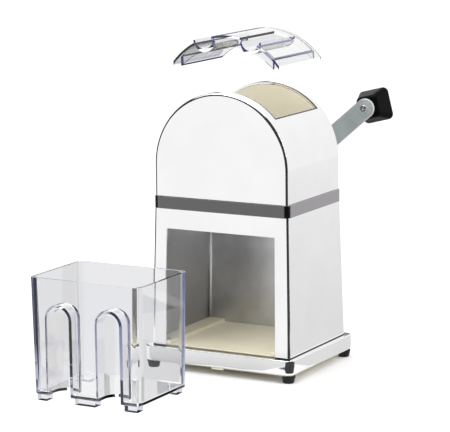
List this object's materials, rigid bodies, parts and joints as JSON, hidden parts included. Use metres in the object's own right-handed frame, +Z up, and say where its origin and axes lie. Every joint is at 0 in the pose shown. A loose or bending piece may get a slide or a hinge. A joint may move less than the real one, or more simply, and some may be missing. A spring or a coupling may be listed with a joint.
{
  "type": "hand-cranked ice crusher",
  "caption": "Table-top hand-cranked ice crusher: chrome domed hopper with a lift-off clear lid, dark band, leaning chrome base, side crank with black knob and a clear pull-out drawer.",
  "frame": {"origin": "on the table, under the centre of the machine's plinth", "axes": "+X to the machine's right as seen from the drawer side, +Y to the back, +Z up"},
  "size_m": [0.1884, 0.3923, 0.3185],
  "materials": {
    "foot_rubber": "matt moulded rubber",
    "cream_plastic": "satin moulded plastic",
    "chrome_shell": "polished chrome plating",
    "grey_plastic": "satin dark grey plastic",
    "panel_metal": "dull brushed sheet",
    "steel": "bright machined steel",
    "cast_chamber": "bead-blasted casting",
    "bronze": "plain bearing bronze",
    "arm_metal": "satin plated steel",
    "black_gloss": "gloss black plastic",
    "clear_plastic": "clear moulded acrylic"
  },
  "bodies": {
    "machine": {"foot_front_left": "foot_rubber", "foot_front_right": "foot_rubber", "foot_rear_left": "foot_rubber", "foot_rear_right": "foot_rubber", "foot_screws": "steel", "base_pan": "cream_plastic", "base_plinth": "chrome_shell", "base_screws": "steel", "base_tray": "cream_plastic", "back_panel": "panel_metal", "lower_housing": "chrome_shell", "middle_band": "grey_plastic", "upper_housing": "chrome_shell", "housing_screws": "steel", "hopper": "cream_plastic", "crusher_chamber": "cast_chamber", "chamber_screws": "steel", "fixed_comb": "steel", "comb_screws": "steel", "front_bearing": "bronze", "rear_bearing": "bronze"},
    "crank": {"rotor_shaft": "steel", "rotor_blade_1": "steel", "rotor_blade_2": "steel", "rotor_blade_3": "steel", "rotor_blade_4": "steel", "rotor_blade_5": "steel", "rotor_blade_6": "steel", "rotor_spacers": "steel", "thrust_washers": "bronze", "shaft_clip": "steel", "crank_hub": "arm_metal", "crank_arm": "arm_metal", "hub_washer": "steel", "hub_screw": "steel", "knob_disc": "steel", "knob_screw": "steel", "knob_spindle": "steel", "knob_retainer": "steel"},
    "knob": {"knob": "black_gloss", "knob_cap": "black_gloss"},
    "drawer": {"drawer": "clear_plastic", "drawer_pads": "clear_plastic"},
    "lid": {"lid": "clear_plastic"}
  },
  "joints": [
    {"name": "crank_spin", "type": "hinge", "parent": "machine", "child": "crank", "pos_m": [0, 0, 0.165], "axis": [0, 1, 0], "continuous": true},
    {"name": "knob_spin", "type": "hinge", "parent": "crank", "child": "knob", "pos_m": [0.09085, 0, 0.24232], "axis": [0, 1, 0], "continuous": true},
    {"name": "drawer_slide", "type": "slide", "parent": "machine", "child": "drawer", "axis": [0, 1, 0], "range_m": [0, 0.2365]},
    {"name": "lid_lift", "type": "slide", "parent": "machine", "child": "lid", "axis": [0, 0, 1], "range_m": [-0.05, 0]}
  ]
}
